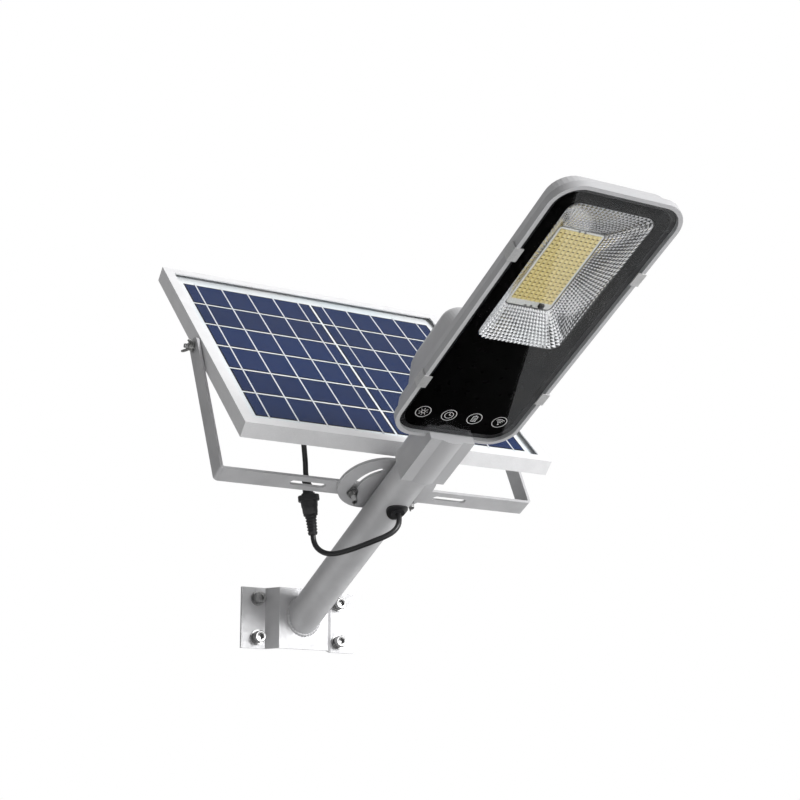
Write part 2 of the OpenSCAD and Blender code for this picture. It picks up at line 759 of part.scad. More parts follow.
// Battery hump, drawn in by d all round
module head_hump(d) {
    top = hump_n - d;
    hull() {
        head_slab(hump_base_x - d, hump_base_s + d, hump_base_l - 2 * d, hump_round + 4,
            rim_back_n, 0.1, $fn = 32);
        head_slab(hump_top_x + 2 - d, hump_top_s - 5 + d, hump_top_l + 15 - 2 * d, hump_round,
            top - 10, 0.1, $fn = 32);
        head_slab(hump_top_x - 2 - d, hump_top_s + d, hump_top_l + 5 - 2 * d, hump_round,
            top - 3, 0.1, $fn = 32);
        head_slab(hump_top_x - 8 - d, hump_top_s + 5 + d, hump_top_l - 5 - 2 * d, hump_round - 4,
            top - 0.1, 0.1, $fn = 32);
    }
}

module neck_profile() {
    intersection() {
        circle(neck_r + 1.5);
        translate([-neck_x, -neck_r * 2]) square([2 * neck_x, 4 * neck_r]);
    }
    translate([-neck_x, -neck_flat]) square([2 * neck_x, neck_flat]);
}

module housing_shell() {
    pocket_x = glass_w / 2 + pocket_gap;
    ledge_x = glass_w / 2 - gasket_w;
    lower = glass_s - pocket_gap - rim_w;
    difference() {
        union() {
            head_slab(rim_x, lower, rim_l, glass_r + rim_w, -glass_n, rim_back_n + glass_n);
            head_back(0);
            head_hump(0);
            on_arm(neck_s) rotate([90, 0, 0]) mirror([0, 0, 1]) linear_extrude(lower + 8 - neck_s)
                neck_profile();
        }
        head_slab(pocket_x, glass_s - pocket_gap, glass_l + 2 * pocket_gap, glass_r, -glass_n - eps,
            ledge_n + glass_n + eps);
        head_slab(ledge_x, glass_s + gasket_w, glass_l - 2 * gasket_w, glass_r - gasket_w,
            ledge_n - eps, rim_back_n - ledge_n + eps);
        intersection() {
            head_back(shell_t);
            head_slab(ledge_x, glass_s + gasket_w, glass_l - 2 * gasket_w, glass_r - gasket_w,
                rim_back_n - eps, 100);
        }
        intersection() {
            head_hump(shell_t);
            head_slab(ledge_x, glass_s + gasket_w, glass_l - 2 * gasket_w, glass_r - gasket_w,
                rim_back_n - eps, 100);
        }
        arm_bar(neck_bore_r, neck_s - eps, arm_l + 0.2);
        arm_bar(8, arm_l, glass_s + 20);
        for (s = neck_screw_s) on_arm(s, arm_r) cylinder(h = 12, d = neck_screw_d);
    }
}

// Housing with the bosses that the battery tray hangs on
module lamp_housing() {
    color([0.78, 0.78, 0.79]) {
        housing_shell();
        for (sx = [-1, 1], s = boss_s) on_arm(s, tray_n + tray_t) translate([sx * boss_x, 0, 0])
            cylinder(h = hump_n - 8 - tray_n - tray_t, r = boss_r);
    }
}

module neck_screws() {
    top = neck_r + 1.5;
    color([0.60, 0.60, 0.61]) for (s = neck_screw_s) on_arm(s, arm_r + 0.05) difference() {
        union() {
            cylinder(h = top - arm_r + 1, d = neck_screw_d);
            translate([0, 0, top - arm_r + 0.2]) cylinder(h = 4, d = 10, $fn = 6);
        }
        translate([0, 0, top - arm_r + 2]) cylinder(h = 4, d = 4, $fn = 6);
    }
}

module front_glass() {
    color([0.70, 0.74, 0.76, 0.3]) head_slab(glass_w / 2, glass_s, glass_l, glass_r, -glass_n, glass_t);
}

module glass_mask() {
    x = glass_w / 2 - gasket_w - gap;
    color([0.02, 0.02, 0.02]) difference() {
        head_slab(x, glass_s + gasket_w + gap, glass_l - 2 * (gasket_w + gap), glass_r - gasket_w,
            pocket_n, mask_t);
        head_slab(window_w / 2, window_s, window_l, 10, pocket_n - eps, mask_t + 2 * eps);
    }
}

module glass_gasket() {
    color([0.04, 0.04, 0.04]) difference() {
        head_slab(glass_w / 2, glass_s, glass_l, glass_r, pocket_n, gasket_t);
        head_slab(glass_w / 2 - gasket_w, glass_s + gasket_w, glass_l - 2 * gasket_w,
            glass_r - gasket_w, pocket_n - eps, gasket_t + 2 * eps);
    }
}

module glass_clips() {
    out = rim_x + gap + clip_t;
    low = -glass_n - clip_t;
    high = rim_back_n + clip_t;
    hook = rim_x - step + 0.3;
    color([0.80, 0.80, 0.80]) for (side = [0, 1], s = clip_s)
        mirror([side, 0, 0]) on_arm(s - clip_w / 2, 0) rotate([90, 0, 0]) mirror([0, 0, 1])
            linear_extrude(clip_w) polygon([[out - clip_reach, low], [out, low], [out, high],
                [hook, high], [hook, rim_back_n], [out - clip_t, rim_back_n],
                [out - clip_t, low + clip_t], [out - clip_reach, low + clip_t]]);
}

// Faceted reflector bowl between the light window and the LED board
module bowl(d, extra) {
    depth = board_n - pocket_n - mask_t;
    hull() {
        head_slab(window_w / 2 - d, window_s + d, window_l - 2 * d, 12 - d,
            pocket_n + mask_t - extra, 0.1, $fn = 32);
        head_slab(board_w / 2 + 1 - d, board_s - 1 + d, board_l + 2 - 2 * d, 4,
            pocket_n + mask_t + depth - 0.3 + extra, 0.1, $fn = 32);
    }
}

module reflector() {
    color([0.90, 0.90, 0.91]) difference() {
        bowl(0, 0);
        bowl(0.8, 0.2);
    }
}

module led_board() {
    color([0.93, 0.93, 0.92]) head_slab(board_w / 2, board_s, board_l, 3, board_n, board_t);
}

module led_chips() {
    dx = (board_w - 2 * led_margin) / (led_cols - 1);
    ds = (board_l - 2 * led_margin - 5) / (led_rows - 1);
    color([0.93, 0.84, 0.45]) for (i = [0:led_cols - 1], j = [0:led_rows - 1])
        on_arm(board_s + led_margin + 5 + j * ds, board_n - led_t)
            translate([(i - (led_cols - 1) / 2) * dx - led_size / 2, -led_size / 2, 0])
                cube([led_size, led_size, led_t]);
}

module light_sensor() {
    color([0.04, 0.04, 0.04]) on_arm(board_s + 2, board_n - 2.5)
        translate([-board_w / 2 + 9, 0, 0]) cube([5, 4, 2.5]);
}

module board_screws() {
    color([0.70, 0.70, 0.70]) for (sx = [-1, 1], ds = [1.5, board_l - 1.2])
        on_arm(board_s + ds, board_n - 0.8) translate([sx * 3, 0, 0]) cylinder(h = 0.8, d = 2);
}

module thermal_pad() {
    color([0.45, 0.47, 0.52]) head_slab(board_w / 2 - 1, board_s + 1, board_l - 2, 2,
        board_n + board_t, pad_t);
}

module battery_cells() {
    color([0.10, 0.32, 0.62]) for (sx = [-1, 1]) on_arm(battery_s, battery_n)
        translate([sx * battery_x, 0, 0]) rotate([-90, 0, 0]) {
            cylinder(h = battery_l, d = battery_d);
            translate([0, 0, battery_l]) cylinder(h = 1.5, d = 8);
        }
}

// Cradle under the cells, with ears on the housing's bosses and posts that carry the controller
module battery_tray() {
    post_r = 2.5;
    color([0.10, 0.10, 0.11]) difference() {
        union() {
            on_arm(battery_s + 4, tray_n) translate([-battery_d, 0, 0])
                cube([2 * battery_d, battery_l - 8, tray_t + 7]);
            for (s = boss_s) on_arm(s - boss_r, tray_n) translate([-boss_x - boss_r, 0, 0])
                cube([2 * (boss_x + boss_r), 2 * boss_r, tray_t]);
            for (x = [-battery_d + post_r, battery_d - post_r], s = boss_s)
                on_arm(s, control_n + control_t) translate([x, 0, 0])
                    cylinder(h = tray_n - control_n - control_t + 1, r = post_r);
        }
        for (sx = [-1, 1]) on_arm(battery_s, battery_n) translate([sx * battery_x, -5, 0])
            rotate([-90, 0, 0]) cylinder(h = battery_l + 10, r = battery_d / 2 + gap);
    }
}

module battery_strap() {
    strap_w = 10;
    inner_x = battery_d + 1;
    low = tray_n - 0.2;
    high = battery_n + battery_d / 2 + 0.2;
    color([0.15, 0.15, 0.16]) on_arm(battery_s + (battery_l - strap_w) / 2, low - 1) difference() {
        translate([-inner_x - 1, 0, 0]) cube([2 * inner_x + 2, strap_w, high - low + 2]);
        translate([-inner_x, -1, 1]) cube([2 * inner_x, strap_w + 2, high - low]);
    }
}

module controller_board() {
    color([0.05, 0.30, 0.16]) on_arm(control_s, control_n) translate([-control_w / 2, 0, 0])
        cube([control_w, control_l, control_t]);
}

module controller_parts() {
    color([0.12, 0.12, 0.13]) on_arm(control_s, control_n + control_t) {
        translate([-22, 3, 0]) cube([14, 8, 7]);
        translate([-4, 8, 0]) cube([9, 9, 1.4]);
        translate([10, 8, 0]) cube([10, 10, 5]);
        translate([-19, 34, 0]) cylinder(h = 7, d = 8);
        translate([-7, 36, 0]) cylinder(h = 7, d = 8);
        translate([4, 30, 0]) cube([14, 10, 6]);
    }
}

module inner_lead() {
    color([0.03, 0.03, 0.04]) swept_tube(inner_lead_path, lead_d - 1);
}

// Nodes ----------------------------------------------------------------------------------

wall_plate();
wall_bolts();
wall_washers();
arm_tube();
arm_weld();
cable_grommet();
moon_plate();
swivel_bolts();
swivel_washers();
swivel_wing_nut(-1);  // swivel_wing_nut_left
swivel_wing_nut(1);  // swivel_wing_nut_right
u_bracket();
tilt_bolts();
tilt_washers();
tilt_wing_nut(-1);  // tilt_wing_nut_left
tilt_wing_nut(1);  // tilt_wing_nut_right
frame_rail(180, panel_w, panel_h / 2);  // frame_rail_top
frame_rail(0, panel_w, panel_h / 2);  // frame_rail_bottom
side_rail(-1);  // frame_rail_left
side_rail(1);  // frame_rail_right
corner_keys();
panel_glass();
solar_cells();
cell_ribbons();
backsheet();
junction_box();
junction_lid();
junction_gland();
panel_lead();
socket_half();
plug_half();
plug_ring();
lamp_lead();
lamp_housing();
neck_screws();
front_glass();
glass_mask();
glass_gasket();
glass_clips();
reflector();
led_board();
led_chips();
light_sensor();
board_screws();
thermal_pad();
battery_cells();
battery_tray();
battery_strap();
controller_board();
controller_parts();
inner_lead();
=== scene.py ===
"""Looks, light and camera of the solar street lamp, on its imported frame."""
import json
import math

import bmesh
import bpy
from mathutils import Matrix, Vector, noise


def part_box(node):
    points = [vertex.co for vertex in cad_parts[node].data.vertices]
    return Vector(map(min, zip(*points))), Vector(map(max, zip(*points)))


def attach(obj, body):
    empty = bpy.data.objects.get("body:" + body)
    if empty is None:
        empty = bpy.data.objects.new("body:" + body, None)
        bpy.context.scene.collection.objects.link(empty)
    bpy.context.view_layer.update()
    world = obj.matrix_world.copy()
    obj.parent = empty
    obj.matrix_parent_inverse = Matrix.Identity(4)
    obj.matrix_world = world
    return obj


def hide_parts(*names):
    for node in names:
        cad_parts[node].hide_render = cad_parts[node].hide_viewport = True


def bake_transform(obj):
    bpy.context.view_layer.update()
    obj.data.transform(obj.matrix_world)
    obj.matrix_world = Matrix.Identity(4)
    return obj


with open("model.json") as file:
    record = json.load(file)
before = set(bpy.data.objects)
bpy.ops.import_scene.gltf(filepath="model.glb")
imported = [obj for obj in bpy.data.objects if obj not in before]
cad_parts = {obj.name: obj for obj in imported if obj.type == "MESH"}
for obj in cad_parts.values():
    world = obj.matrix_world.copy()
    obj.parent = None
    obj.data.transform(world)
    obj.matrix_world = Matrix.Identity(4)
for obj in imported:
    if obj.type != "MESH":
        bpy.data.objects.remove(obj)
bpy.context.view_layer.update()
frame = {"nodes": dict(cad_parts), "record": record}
NODES = frame["nodes"]
JOINTS = {j["name"]: j for j in frame["record"]["behaviour"]["joints"]}
MOUNTS = {m["name"]: m for m in frame["record"]["mounts"]}

# Directions: X along the wall, S outwards along the arm, N square on the arm's upper side;
# V up the panel's slope, Z out of the panel's glass.
X = Vector((1, 0, 0))
N = Vector(JOINTS["bracket_swivel"]["axis"]).normalized()
S = X.cross(N)
HINGE = Vector(JOINTS["panel_tilt"]["pos_m"])
SWIVEL = Vector(JOINTS["bracket_swivel"]["pos_m"])


def extent(node, axis):
    """Lowest and highest reach of a node along a direction."""
    reach = [v.co.dot(axis) for v in NODES[node].data.vertices]
    return min(reach), max(reach)


TILT = math.radians(45)
V = Vector((0, math.cos(TILT), math.sin(TILT)))
Z = Vector((0, -math.sin(TILT), math.cos(TILT)))


def arm(x, s, n):
    return X * x + S * s + N * n


# ---------------------------------------------------------------- camera

def place_camera():
    turn, rise, roll = (math.radians(a) for a in (-29.73, -15.85, -0.61))
    ahead = Vector((-math.sin(turn) * math.cos(rise), math.cos(turn) * math.cos(rise), -math.sin(rise)))
    right = Vector((math.cos(turn), math.sin(turn), 0))
    up = right.cross(ahead)
    across = math.cos(roll) * right + math.sin(roll) * up
    upward = -math.sin(roll) * right + math.cos(roll) * up
    data = bpy.data.cameras.new("camera")
    data.sensor_width = 36
    data.lens = 69.99
    data.clip_start = 0.01
    cam = bpy.data.objects.new("camera", data)
    bpy.context.collection.objects.link(cam)
    cam.matrix_world = Matrix.Translation((-0.7492, -1.5457, -0.2351)) @ Matrix(
        (across, upward, -ahead)).transposed().to_4x4()
    bpy.context.scene.camera = cam


place_camera()


# ---------------------------------------------------------------- mesh helpers

def mesh_object(name, bm, smooth=True, angle=40):
    bmesh.ops.recalc_face_normals(bm, faces=bm.faces)
    data = bpy.data.meshes.new(name)
    bm.to_mesh(data)
    bm.free()
    obj = bpy.data.objects.new(name, data)
    bpy.context.collection.objects.link(obj)
    if smooth:
        data.shade_smooth()
        data.set_sharp_from_angle(angle=math.radians(angle))
    return obj


def grid_faces(bm, rings, close_u=True, close_v=False):
    """Quads between rings of vertices; each ring closes on itself with close_u."""
    rows = list(zip(rings, rings[1:] + rings[:1])) if close_v else list(zip(rings, rings[1:]))
    for a, b in rows:
        count = len(a)
        for k in range(count if close_u else count - 1):
            j = (k + 1) % count
            quad = [a[k], a[j], b[j], b[k]]
            if len(set(quad)) > 2:
                bm.faces.new(quad)


def side_axes(axis):
    axis = axis.normalized()
    other = X if abs(axis.dot(X)) < 0.9 else Vector((0, 0, 1))
    u = axis.cross(other).normalized()
    return u, axis.cross(u)


def lathe(bm, origin, axis, profile, sides=48, facets=None):
    """Turned body: profile is a list of (height, radius); facets turns a stretch into a polygon."""
    u, w = side_axes(axis)
    axis = axis.normalized()
    rings = []
    for i, (h, r) in enumerate(profile):
        if r < 1e-6:
            rings.append([bm.verts.new(origin + axis * h)] * sides)
            continue
        ring = []
        for k in range(sides):
            a = 2 * math.pi * k / sides
            radius = r
            if facets and facets[0] <= i <= facets[1]:
                step = 2 * math.pi / facets[2]
                radius = r * math.cos(step / 2) / math.cos((a % step) - step / 2)
            ring.append(bm.verts.new(origin + axis * h + (u * math.cos(a) + w * math.sin(a)) * radius))
        rings.append(ring)
    for a, b in zip(rings, rings[1:]):
        for k in range(sides):
            j = (k + 1) % sides
            corners = []
            for vert in (a[k], a[j], b[j], b[k]):
                if vert not in corners:
                    corners.append(vert)
            if len(corners) > 2:
                bm.faces.new(corners)


def thread(bm, origin, axis, radius, length, pitch, sides=24):
    """Threaded shank with a closed, slightly domed free end at origin + axis * length."""
    u, w = side_axes(axis)
    axis = axis.normalized()
    depth = 0.55 * pitch
    steps = max(2, int(length / pitch * 5))
    rings = []
    for i in range(steps + 1):
        h = length * i / steps
        ring = []
        for k in range(sides):
            a = 2 * math.pi * k / sides
            phase = (h / pitch - k / sides) % 1
            cut = depth * (1 - abs(2 * phase - 1))
            taper = min(1, (length - h) / pitch)
            r = radius - cut * taper - 0.35 * pitch * (1 - taper)
            ring.append(bm.verts.new(origin + axis * h + (u * math.cos(a) + w * math.sin(a)) * r))
        rings.append(ring)
    grid_faces(bm, rings)
    bm.faces.new(rings[-1])
    bm.faces.new(rings[0])


def slab(bm, outline, place, low, high):
    """Closed prism: outline points (a, b) placed by place(a, b, height) between two heights."""
    bottom = [bm.verts.new(place(a, b, low)) for a, b in outline]
    top = [bm.verts.new(place(a, b, high)) for a, b in outline]
    bm.faces.new(bottom)
    bm.faces.new(top)
    grid_faces(bm, [bottom, top])


def rounded_outline(a0, a1, b0, b1, r, steps=8):
    pts = []
    corners = ((a1 - r, b1 - r, 0), (a0 + r, b1 - r, 90), (a0 + r, b0 + r, 180), (a1 - r, b0 + r, 270))
    for ca, cb, start in corners:
        for i in range(steps + 1):
            t = math.radians(start + 90 * i / steps)
            pts.append((ca + r * math.cos(t), cb + r * math.sin(t)))
    return pts


def bevel(obj, width, segments=3, angle=35):
    mod = obj.modifiers.new("edge", "BEVEL")
    mod.width = width
    mod.segments = segments
    mod.limit_method = "ANGLE"
    mod.angle_limit = math.radians(angle)
    mod.harden_normals = False
    bpy.context.view_layer.objects.active = obj
    obj.select_set(True)
    bpy.ops.object.modifier_apply(modifier=mod.name)
    obj.select_set(False)
    obj.data.shade_smooth()
    obj.data.set_sharp_from_angle(angle=math.radians(40))


# ---------------------------------------------------------------- materials

class Look:
    """Node graph of one material; every value runs through procedural detail."""

    def __init__(self, name):
        self.mat = bpy.data.materials.new(name)
        self.mat.use_nodes = True
        self.tree = self.mat.node_tree
        self.shader = self.tree.nodes["Principled BSDF"]
        self.coords = self.node("ShaderNodeTexCoord").outputs["Object"]

    def node(self, kind, **values):
        made = self.tree.nodes.new(kind)
        for key, value in values.items():
            setattr(made, key, value)
        return made

    def link(self, a, b):
        self.tree.links.new(a, b)

    def set(self, **values):
        for key, value in values.items():
            socket = self.shader.inputs[key.replace("_", " ")]
            socket.default_value = value

    def noise(self, scale, detail=4, stretch=None, rough=0.55):
        """Noise of that many lumps per metre, drawn out along the axes where stretch is small."""
        where = self.coords
        if stretch:
            mapping = self.node("ShaderNodeMapping")
            mapping.inputs["Scale"].default_value = stretch
            self.link(where, mapping.inputs["Vector"])
            where = mapping.outputs["Vector"]
        tex = self.node("ShaderNodeTexNoise")
        tex.inputs["Scale"].default_value = scale
        tex.inputs["Detail"].default_value = detail
        tex.inputs["Roughness"].default_value = rough
        self.link(where, tex.inputs["Vector"])
        return tex.outputs["Fac"]

    def ramp(self, value, low, high, a, b):
        made = self.node("ShaderNodeMapRange")
        made.inputs["From Min"].default_value = low
        made.inputs["From Max"].default_value = high
        made.inputs["To Min"].default_value = a
        made.inputs["To Max"].default_value = b
        self.link(value, made.inputs["Value"])
        return made.outputs["Result"]

    def mix(self, factor, a, b):
        made = self.node("ShaderNodeMix", data_type="RGBA")
        for socket, value in ((made.inputs[6], a), (made.inputs[7], b)):
            if isinstance(value, tuple):
                socket.default_value = (*value, 1)
            else:
                self.link(value, socket)
        if isinstance(factor, float):
            made.inputs[0].default_value = factor
        else:
            self.link(factor, made.inputs[0])
        return made.outputs[2]

    def math(self, kind, a, b=None, clamp=False):
        made = self.node("ShaderNodeMath", operation=kind, use_clamp=clamp)
        for socket, value in zip(made.inputs, (a, b)):
            if value is None:
                continue
            if isinstance(value, (int, float)):
                socket.default_value = value
            else:
                self.link(value, socket)
        return made.outputs[0]

    def along(self, axis, start=0.0):
        """Distance of a point from start along a direction of the row frame."""
        made = self.node("ShaderNodeVectorMath", operation="DOT_PRODUCT")
        made.inputs[1].default_value = axis
        self.link(self.coords, made.inputs[0])
        return self.math("SUBTRACT", made.outputs["Value"], start)

    def colour(self, value):
        self.link(value, self.shader.inputs["Base Color"])

    def roughness(self, value):
        self.link(value, self.shader.inputs["Roughness"])

    def bump(self, *layers):
        """Bump from (height, strength, distance in metres) layers."""
        normal = None
        for height, strength, distance in layers:
            made = self.node("ShaderNodeBump")
            made.inputs["Strength"].default_value = strength
            made.inputs["Distance"].default_value = distance
            self.link(height, made.inputs["Height"])
            if normal:
                self.link(normal, made.inputs["Normal"])
            normal = made.outputs["Normal"]
        self.link(normal, self.shader.inputs["Normal"])


def coated(name, light, dark, rough=(0.35, 0.5), metal=0.0, grain=2600, depth=0.00004, patch=14,
           coat=0.0, specular=0.5):
    """Painted, plated or moulded surface: broad tone changes, fine grain, uneven gloss."""
    look = Look(name)
    broad = look.noise(patch, 3)
    fine = look.noise(grain, 3)
    tone = look.math("ADD", look.math("MULTIPLY", broad, 0.75), look.math("MULTIPLY", fine, 0.25))
    look.colour(look.mix(look.ramp(tone, 0.35, 0.65, 0, 1), dark, light))
    look.roughness(look.ramp(look.noise(patch * 9, 4), 0.3, 0.7, *rough))
    look.set(Metallic=metal, Coat_Weight=coat, Specular_IOR_Level=specular)
    look.bump((fine, 0.5, depth), (broad, 0.15, depth * 6))
    return look


def brushed(name, light, dark, rough=(0.25, 0.42), stretch=(1, 1, 1), scale=900, metal=1.0):
    """Drawn or plated metal with fine lines along one direction and small stains."""
    look = Look(name)
    lines = look.noise(scale, 3, stretch)
    stains = look.noise(60, 5)
    tone = look.math("ADD", look.math("MULTIPLY", lines, 0.6), look.math("MULTIPLY", stains, 0.4))
    look.colour(look.mix(look.ramp(tone, 0.35, 0.65, 0, 1), dark, light))
    look.roughness(look.ramp(tone, 0.3, 0.7, *rough))
    look.set(Metallic=metal)
    look.bump((lines, 0.35, 0.00003))
    return look


GREY_STEEL = coated("galvanised_steel", (0.55, 0.55, 0.56), (0.47, 0.47, 0.48), (0.34, 0.5), 0.25,
                    grain=1800, depth=0.00005, patch=30)
ZINC = brushed("zinc_bolt", (0.5, 0.5, 0.5), (0.3, 0.3, 0.3), (0.28, 0.45))
NUT = brushed("zinc_nut", (0.36, 0.36, 0.35), (0.2, 0.2, 0.2), (0.25, 0.45), scale=500)
FRAME = brushed("anodised_frame", (0.82, 0.82, 0.83), (0.72, 0.72, 0.73), (0.32, 0.45),
                stretch=(1, 6, 6), scale=500, metal=0.25)
BLACK = coated("black_plastic", (0.026, 0.026, 0.028), (0.014, 0.014, 0.015), (0.32, 0.5), grain=3800,
               depth=0.00003)
RUBBER = coated("black_rubber", (0.022, 0.022, 0.024), (0.011, 0.011, 0.012), (0.28, 0.42), grain=2500,
                depth=0.00002)
HOUSING = coated("housing_paint", (0.5, 0.5, 0.51), (0.45, 0.45, 0.46), (0.36, 0.48), 0.15, grain=2400,
                 depth=0.00003, patch=9)
CLIP = brushed("clip_steel", (0.72, 0.72, 0.72), (0.56, 0.56, 0.56), (0.3, 0.45), metal=0.6)
WHITE_SHEET = coated("backsheet", (0.86, 0.86, 0.86), (0.79, 0.79, 0.79), (0.45, 0.6), grain=900)
PAD = coated("thermal_pad", (0.36, 0.38, 0.42), (0.3, 0.32, 0.36), (0.6, 0.75), grain=500)
WRAP = coated("battery_wrap", (0.06, 0.19, 0.46), (0.05, 0.16, 0.4), (0.2, 0.35), grain=300)
GREEN = coated("green_board", (0.02, 0.2, 0.08), (0.014, 0.14, 0.055), (0.3, 0.45), grain=900)
CHIP = coated("component_black", (0.05, 0.05, 0.055), (0.03, 0.03, 0.033), (0.4, 0.55), grain=1500)
MASK = coated("glass_mask", (0.0022, 0.002, 0.0022), (0.0014, 0.0013, 0.0014), (0.25, 0.4), grain=900,
              specular=0.03)
RIBBON = brushed("ribbon", (0.84, 0.85, 0.87), (0.7, 0.71, 0.73), (0.25, 0.4),
                 stretch=(1, 0.05, 0.05), metal=0.3)
PAINT = coated("print_white", (0.82, 0.82, 0.82), (0.72, 0.72, 0.72), (0.5, 0.6), grain=4000)
DASH = coated("board_parts", (0.1, 0.055, 0.03), (0.06, 0.033, 0.02), (0.35, 0.5), grain=3000)
SILVER = brushed("reflector", (0.93, 0.93, 0.94), (0.82, 0.82, 0.84), (0.06, 0.14), scale=300)


def pane_look(name, sheen, rough, wave, wave_depth, tint):
    """Thin clear pane: straight view through it, with a mirror-like coat that grows at low angles."""
    look = Look(name)
    ripple = look.noise(wave, 2)
    look.colour(look.mix(look.ramp(ripple, 0.3, 0.7, 0, 1), (0.9, 0.92, 0.95), (1, 1, 1)))
    look.roughness(look.ramp(ripple, 0.3, 0.7, rough, rough * 1.6))
    look.set(Metallic=1.0)
    look.bump((ripple, 0.1, wave_depth))
    clear = look.node("ShaderNodeBsdfTransparent")
    look.link(look.mix(look.ramp(look.noise(20, 2), 0.3, 0.7, 0, 1), tint, (0.98, 0.98, 0.98)),
              clear.inputs["Color"])
    weight = look.node("ShaderNodeLayerWeight")
    weight.inputs["Blend"].default_value = sheen
    both = look.node("ShaderNodeMixShader")
    look.link(weight.outputs["Facing"], both.inputs[0])
    look.link(clear.outputs[0], both.inputs[1])
    look.link(look.shader.outputs[0], both.inputs[2])
    look.link(both.outputs[0], look.tree.nodes["Material Output"].inputs["Surface"])
    return look


LAMP_GLASS = pane_look("lamp_glass", 0.07, 0.004, 30, 0.00002, (0.96, 0.97, 0.97))
PANEL_GLASS = pane_look("panel_glass", 0.008, 0.12, 1400, 0.00001, (0.95, 0.97, 0.98))


def cell_look():
    """Dark blue silicon: crystal grains, fine silver fingers across the ribbons, dark rims."""
    look = Look("silicon")
    v0, v1 = extent("solar_cells", V)
    x0, x1 = extent("solar_cells", X)
    gap = 0.003
    rows, cols = 6, 2
    pitch_v = (v1 - v0 + gap) / rows
    pitch_x = (x1 - x0 + gap) / cols
    up = look.along(V, v0 - gap / 2)
    aside = look.along(X, x0 - gap / 2)
    cell_id = look.math("ADD", look.math("FLOOR", look.math("DIVIDE", up, pitch_v)),
                        look.math("MULTIPLY", look.math("FLOOR", look.math("DIVIDE", aside, pitch_x)), 7.3))
    white = look.node("ShaderNodeTexWhiteNoise", noise_dimensions="1D")
    look.link(cell_id, white.inputs["W"])
    crystal = look.node("ShaderNodeTexVoronoi")
    crystal.inputs["Scale"].default_value = 120
    look.link(look.coords, crystal.inputs["Vector"])
    tone = look.math("ADD", look.math("MULTIPLY", white.outputs["Value"], 0.3),
                     look.math("MULTIPLY", crystal.outputs["Distance"], 0.25))
    base = look.mix(look.ramp(tone, 0, 0.5, 0, 1), (0.003, 0.012, 0.058), (0.007, 0.022, 0.09))
    finger = look.math("PINGPONG", look.math("DIVIDE", up, 0.0016), 0.5)
    lined = look.mix(look.ramp(finger, 0.44, 0.5, 0, 0.1), base, (0.2, 0.24, 0.4))
    edge_v = look.math("PINGPONG", up, pitch_v / 2)
    edge_x = look.math("PINGPONG", aside, pitch_x / 2)
    near = look.math("MINIMUM", edge_v, edge_x)
    look.colour(look.mix(look.ramp(near, gap * 0.9, gap * 1.05, 1, 0), lined, (0.004, 0.004, 0.009)))
    look.roughness(look.ramp(tone, 0, 0.5, 0.28, 0.42))
    look.set(Metallic=0.0, Specular_IOR_Level=0.05)
    look.bump((finger, 0.2, 0.00001), (crystal.outputs["Distance"], 0.1, 0.00002))
    return look


CELL = cell_look()


def led_look():
    """Yellow phosphor with fine specks under a light coat."""
    look = Look("led")
    speck = look.noise(2500, 2)
    body = look.mix(look.ramp(speck, 0.3, 0.7, 0, 1), (0.9, 0.74, 0.3), (0.98, 0.84, 0.42))
    look.colour(body)
    look.roughness(look.ramp(speck, 0.3, 0.7, 0.3, 0.45))
    look.set(Coat_Weight=0.4)
    look.bump((speck, 0.2, 0.00002))
    return look


LED = led_look()


def board_look():
    """White circuit board with a yellow cast between the LEDs."""
    look = Look("led_board")
    speck = look.noise(700, 3)
    inside = None
    for axis in (X, S):
        low, high = extent("led_chips", axis)
        middle = look.math("ABSOLUTE", look.along(axis, (low + high) / 2))
        reach = look.ramp(middle, (high - low) / 2, (high - low) / 2 + 0.0006, 1, 0)
        inside = look.math("MULTIPLY", inside, reach) if inside else reach
    white = look.mix(look.ramp(speck, 0.3, 0.7, 0, 1), (0.76, 0.76, 0.73), (0.84, 0.84, 0.82))
    yellow = look.mix(look.ramp(speck, 0.3, 0.7, 0, 1), (0.74, 0.6, 0.24), (0.84, 0.7, 0.32))
    look.colour(look.mix(inside, white, yellow))
    look.roughness(look.ramp(speck, 0.3, 0.7, 0.35, 0.5))
    look.bump((speck, 0.3, 0.00002))
    return look


BOARD = board_look()

LOOKS = {
    "wall_plate": GREY_STEEL, "arm_tube": GREY_STEEL, "arm_weld": GREY_STEEL, "moon_plate": GREY_STEEL,
    "u_bracket": GREY_STEEL, "wall_bolts": ZINC, "wall_washers": ZINC, "swivel_bolts": ZINC,
    "swivel_washers": ZINC, "tilt_bolts": ZINC, "tilt_washers": ZINC, "neck_screws": ZINC,
    "board_screws": ZINC, "swivel_wing_nut_left": NUT, "swivel_wing_nut_right": NUT,
    "tilt_wing_nut_left": NUT, "tilt_wing_nut_right": NUT, "frame_rail_top": FRAME,
    "frame_rail_bottom": FRAME, "frame_rail_left": FRAME, "frame_rail_right": FRAME,
    "corner_keys": CLIP, "panel_glass": PANEL_GLASS, "solar_cells": CELL, "cell_ribbons": RIBBON,
    "backsheet": WHITE_SHEET, "junction_box": BLACK, "junction_lid": BLACK, "junction_gland": BLACK,
    "panel_lead": RUBBER, "lamp_lead": RUBBER, "socket_half": BLACK, "plug_half": BLACK,
    "plug_ring": BLACK, "cable_grommet": RUBBER, "glass_gasket": RUBBER, "inner_lead": RUBBER,
    "lamp_housing": HOUSING, "glass_clips": CLIP, "front_glass": LAMP_GLASS, "glass_mask": MASK,
    "reflector": SILVER, "led_board": BOARD, "led_chips": LED, "light_sensor": BLACK,
    "thermal_pad": PAD, "battery_cells": WRAP, "battery_tray": BLACK, "battery_strap": BLACK,
    "controller_board": GREEN, "controller_parts": CHIP,
}


def wear(obj, look):
    obj.data.materials.clear()
    obj.data.materials.append(look.mat)
    return obj


for name, obj in NODES.items():
    for slot in obj.material_slots:
        slot.material = LOOKS[name].mat


# ---------------------------------------------------------------- leads and connector

